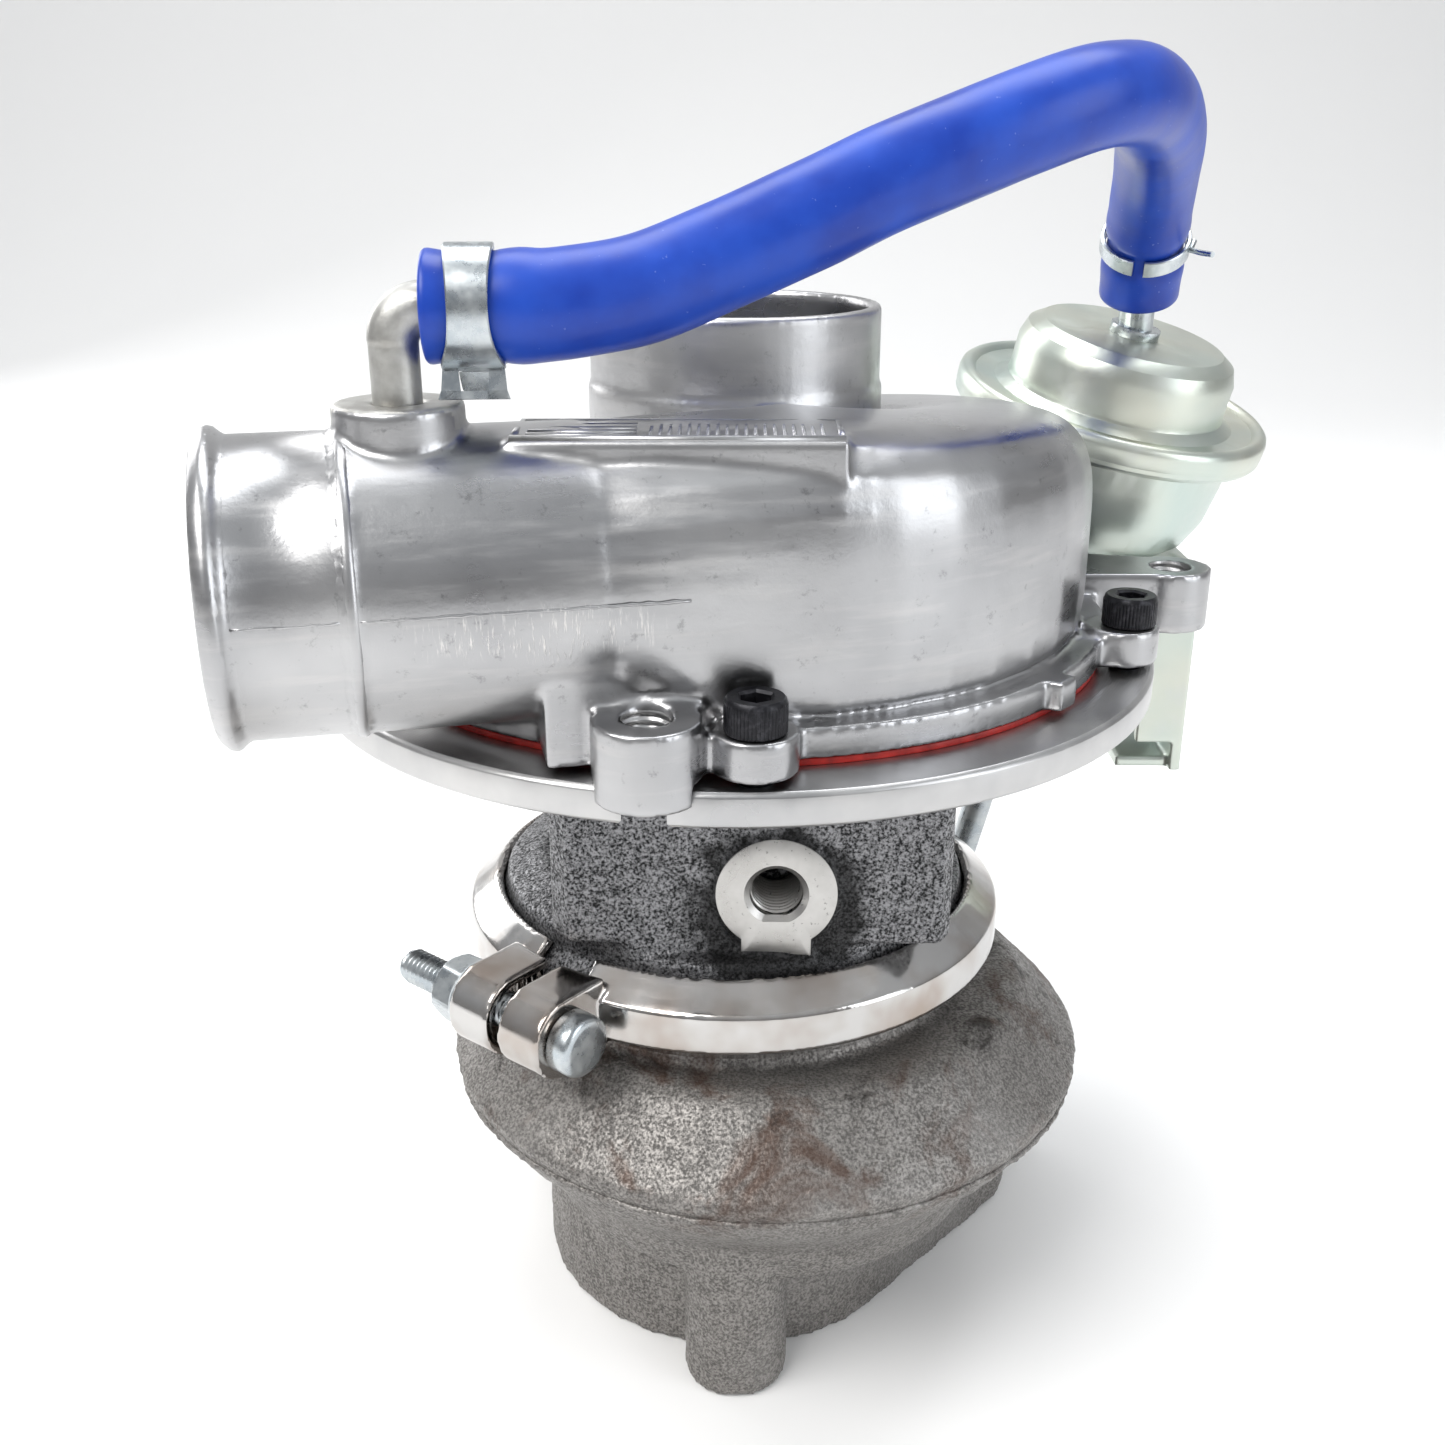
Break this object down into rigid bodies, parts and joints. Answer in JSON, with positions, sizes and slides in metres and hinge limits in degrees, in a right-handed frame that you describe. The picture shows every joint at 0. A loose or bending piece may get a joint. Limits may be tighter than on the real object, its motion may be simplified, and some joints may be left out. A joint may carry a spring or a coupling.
{
  "type": "turbocharger",
  "caption": "Turbocharger with an aluminium compressor cover, iron turbine housing, V-band joint, internal wastegate, pneumatic actuator and blue pressure hose.",
  "frame": {"origin": "on the rotor axis, in the plane of the exhaust outlet face", "axes": "+Z along the rotor axis towards the compressor inlet; the compressor outlet leaves towards -X and the oil inlet faces -Y"},
  "size_m": [0.1735, 0.164, 0.214],
  "materials": {
    "cast_aluminium": "satin bead-blasted casting",
    "machined_aluminium": "turned",
    "red_seal": "matte silicone",
    "black_steel": "black oxide",
    "rubber": "matte",
    "bright_steel": "ground",
    "bronze": "turned bronze",
    "cast_iron": "coarse sand cast",
    "turbine_iron": "coarse sand cast, slightly rusted",
    "turbine_alloy": "cast nickel alloy",
    "stainless": "polished stainless, heat tinted",
    "zinc_steel": "bright zinc plated",
    "actuator_zinc": "satin passivated zinc",
    "blue_silicone": "semi-gloss silicone"
  },
  "bodies": {
    "casing": {"compressor_housing": "cast_aluminium", "compressor_backplate": "machined_aluminium", "cover_seal": "red_seal", "cover_bolts": "black_steel", "backplate_screws": "black_steel", "backplate_o_ring": "rubber", "thrust_bearing": "bronze", "oil_deflector": "bright_steel", "bearing_snap_rings": "black_steel", "compressor_piston_ring": "bright_steel", "turbine_piston_ring": "bright_steel", "bearing_housing": "cast_iron", "heat_shield": "stainless", "v_band_clamp": "stainless", "clamp_bolt": "zinc_steel", "clamp_nut": "zinc_steel", "turbine_housing": "turbine_iron", "wastegate_bush": "stainless", "actuator_cap": "actuator_zinc", "actuator_can": "actuator_zinc", "actuator_diaphragm": "rubber", "actuator_spring": "bright_steel", "actuator_bracket": "actuator_zinc", "actuator_nuts": "zinc_steel", "outlet_nipple": "cast_aluminium", "actuator_nipple": "zinc_steel", "pressure_hose": "blue_silicone", "outlet_hose_clip": "zinc_steel", "actuator_hose_clip": "zinc_steel"},
    "rotor": {"compressor_wheel": "machined_aluminium", "compressor_nut": "bright_steel", "thrust_collar": "bright_steel", "turbine_wheel_shaft": "turbine_alloy"},
    "upper_bearing": {"upper_journal_bearing": "bronze"},
    "lower_bearing": {"lower_journal_bearing": "bronze"},
    "rod": {"actuator_rod": "zinc_steel", "rod_locknut": "zinc_steel", "rod_end": "zinc_steel", "actuator_piston": "zinc_steel"},
    "wastegate": {"wastegate_arm": "turbine_alloy", "wastegate_valve": "turbine_alloy", "wastegate_lever": "zinc_steel", "lever_clip": "zinc_steel"}
  },
  "joints": [
    {"name": "rotor_spin", "type": "hinge", "parent": "casing", "child": "rotor", "pos_m": [0, 0, 0.09], "axis": [0, 0, -1], "continuous": true},
    {"name": "upper_bearing_spin", "type": "hinge", "parent": "casing", "child": "upper_bearing", "pos_m": [0, 0, 0.101], "axis": [0, 0, -1], "continuous": true},
    {"name": "lower_bearing_spin", "type": "hinge", "parent": "casing", "child": "lower_bearing", "pos_m": [0, 0, 0.0795], "axis": [0, 0, -1], "continuous": true},
    {"name": "rod_slide", "type": "slide", "parent": "casing", "child": "rod", "axis": [-0.1908, 0.1651, -0.9677], "range_m": [0, 0.008], "stiffness_N_per_m": 4000, "springref_m": -0.002, "deforming": ["actuator_spring", "actuator_diaphragm"]},
    {"name": "wastegate_hinge", "type": "hinge", "parent": "casing", "child": "wastegate", "pos_m": [0.02423, 0.06412, 0.02363], "axis": [0, 0.9858, 0.1681], "range_deg": [0, 22]}
  ],
  "couplings": [
    {"joint": "wastegate_hinge", "follows": "rod_slide", "rad_per_m": 47.92}
  ]
}
